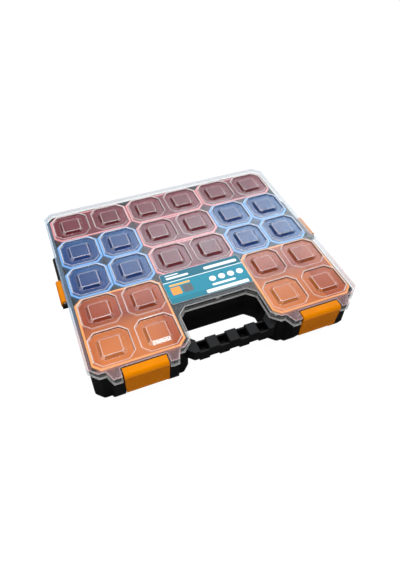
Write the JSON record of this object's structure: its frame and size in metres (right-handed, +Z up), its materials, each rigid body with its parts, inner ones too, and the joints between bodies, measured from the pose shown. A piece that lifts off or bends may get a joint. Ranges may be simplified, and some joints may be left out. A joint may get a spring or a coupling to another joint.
{
  "type": "storage box",
  "caption": "Flat storage box with lift-out bins under a clear hinged lid, swinging latches and a carrying handle set between its two front wings.",
  "frame": {"origin": "on the ground, under the centre of the bin grid", "axes": "+X to the right seen from the handle side, +Y away from the handle towards the hinges, +Z up"},
  "size_m": [0.4018, 0.347, 0.063],
  "materials": {
    "base_black": "satin moulded polypropylene",
    "lid_clear": "clear polypropylene, slightly milky",
    "label_print": null,
    "pin_steel": "drawn wire",
    "latch_amber": "smooth with a ridged face",
    "bin_red": "satin moulded polypropylene",
    "bin_blue": "satin moulded polypropylene",
    "bin_orange": "satin moulded polypropylene"
  },
  "bodies": {
    "tray": {"base_tray": "base_black", "hinge_pin_left": "pin_steel", "hinge_pin_right": "pin_steel", "bin_wide_back_left": "bin_red", "bin_wide_back_middle": "bin_red", "bin_wide_back_right": "bin_red", "bin_wide_upper_middle": "bin_red", "bin_wide_lower_middle": "bin_red", "bin_small_upper_left_outer": "bin_blue", "bin_small_upper_left_inner": "bin_blue", "bin_small_upper_right_inner": "bin_blue", "bin_small_upper_right_outer": "bin_blue", "bin_small_lower_left_outer": "bin_blue", "bin_small_lower_left_inner": "bin_blue", "bin_small_lower_right_inner": "bin_blue", "bin_small_lower_right_outer": "bin_blue", "bin_large_left": "bin_orange", "bin_large_right": "bin_orange"},
    "lid": {"lid": "lid_clear", "label": "label_print"},
    "latch_front_left": {"latch_front_left": "latch_amber"},
    "latch_front_right": {"latch_front_right": "latch_amber"},
    "latch_side_left": {"latch_side_left": "latch_amber"},
    "latch_side_right": {"latch_side_right": "latch_amber"}
  },
  "joints": [
    {"name": "lid_hinge", "type": "hinge", "parent": "tray", "child": "lid", "pos_m": [0, 0.1683, 0.0428], "axis": [-1, 0, 0], "range_deg": [0, 110]},
    {"name": "latch_front_left_pivot", "type": "hinge", "parent": "tray", "child": "latch_front_left", "pos_m": [-0.1233, -0.1655, 0.027], "axis": [1, 0, 0], "range_deg": [0, 90]},
    {"name": "latch_front_right_pivot", "type": "hinge", "parent": "tray", "child": "latch_front_right", "pos_m": [0.1233, -0.1655, 0.027], "axis": [1, 0, 0], "range_deg": [0, 90]},
    {"name": "latch_side_left_pivot", "type": "hinge", "parent": "tray", "child": "latch_side_left", "pos_m": [-0.1983, -0.0036, 0.0476], "axis": [0, -1, 0], "range_deg": [0, 110]},
    {"name": "latch_side_right_pivot", "type": "hinge", "parent": "tray", "child": "latch_side_right", "pos_m": [0.1983, -0.0036, 0.0476], "axis": [0, 1, 0], "range_deg": [0, 110]}
  ]
}
